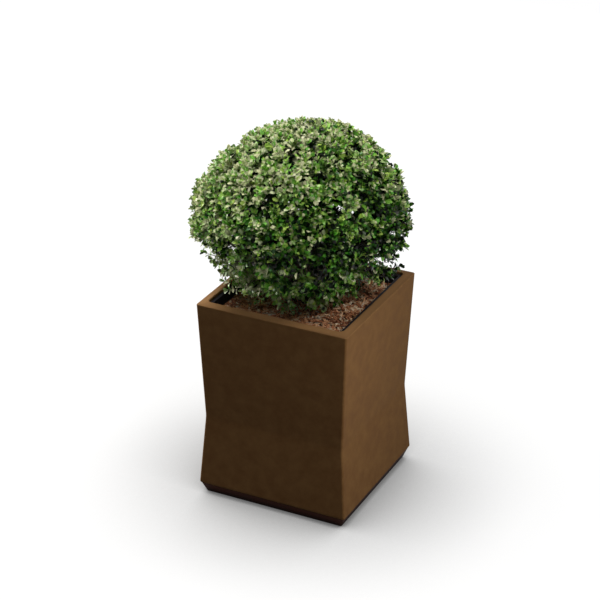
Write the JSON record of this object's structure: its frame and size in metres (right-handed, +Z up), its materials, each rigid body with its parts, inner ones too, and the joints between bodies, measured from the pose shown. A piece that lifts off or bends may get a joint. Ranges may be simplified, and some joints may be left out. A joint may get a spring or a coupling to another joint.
{
  "type": "planter",
  "caption": "Square floor planter with a drawn-in waist, a recessed plinth on levelling feet, and a lift-out liner planted with a clipped round shrub.",
  "frame": {"origin": "on the ground, under the middle of the square shell", "axes": "+Z up, -Y towards the front, +X to the right; the shell's sides lie square to X and Y"},
  "size_m": [0.856, 0.856, 1.468],
  "materials": {
    "shell": "matte",
    "plinth": "matte",
    "liner": "satin",
    "brass_insert": "satin",
    "steel": "satin",
    "pad": "matte",
    "drain_fitting": "satin",
    "drain_rubber": "matte",
    "fleece": "matte",
    "soil": "matte",
    "roots": "matte",
    "bark": "matte",
    "stems": "matte",
    "leaves": "satin"
  },
  "bodies": {
    "planter_body": {"outer_shell": "shell", "base_plinth": "plinth", "plinth_screws": "steel", "foot_inserts": "brass_insert", "drain_bushing": "drain_fitting", "drain_gasket": "drain_rubber", "drain_locknut": "drain_fitting"},
    "levelling_foot_1": {"foot_pad_1": "pad", "foot_stud_1": "steel"},
    "levelling_foot_2": {"foot_pad_2": "pad", "foot_stud_2": "steel"},
    "levelling_foot_3": {"foot_pad_3": "pad", "foot_stud_3": "steel"},
    "levelling_foot_4": {"foot_pad_4": "pad", "foot_stud_4": "steel"},
    "plug": {"drain_plug": "drain_rubber"},
    "planted_liner": {"liner": "liner", "liner_fleece": "fleece", "soil": "soil", "root_ball": "roots", "mulch": "bark", "shrub_stems": "stems", "foliage_crown": "leaves"}
  },
  "joints": [
    {"name": "foot_screw_1", "type": "slide", "parent": "planter_body", "child": "levelling_foot_1", "axis": [0, 0, -1], "range_m": [0, 0.008]},
    {"name": "foot_screw_2", "type": "slide", "parent": "planter_body", "child": "levelling_foot_2", "axis": [0, 0, -1], "range_m": [0, 0.008]},
    {"name": "foot_screw_3", "type": "slide", "parent": "planter_body", "child": "levelling_foot_3", "axis": [0, 0, -1], "range_m": [0, 0.008]},
    {"name": "foot_screw_4", "type": "slide", "parent": "planter_body", "child": "levelling_foot_4", "axis": [0, 0, -1], "range_m": [0, 0.008]},
    {"name": "plug_pull", "type": "slide", "parent": "planter_body", "child": "plug", "axis": [0, 0, 1], "range_m": [0, 0.035]},
    {"name": "liner_lift", "type": "slide", "parent": "planter_body", "child": "planted_liner", "axis": [0, 0, 1], "range_m": [0, 0.46]}
  ]
}
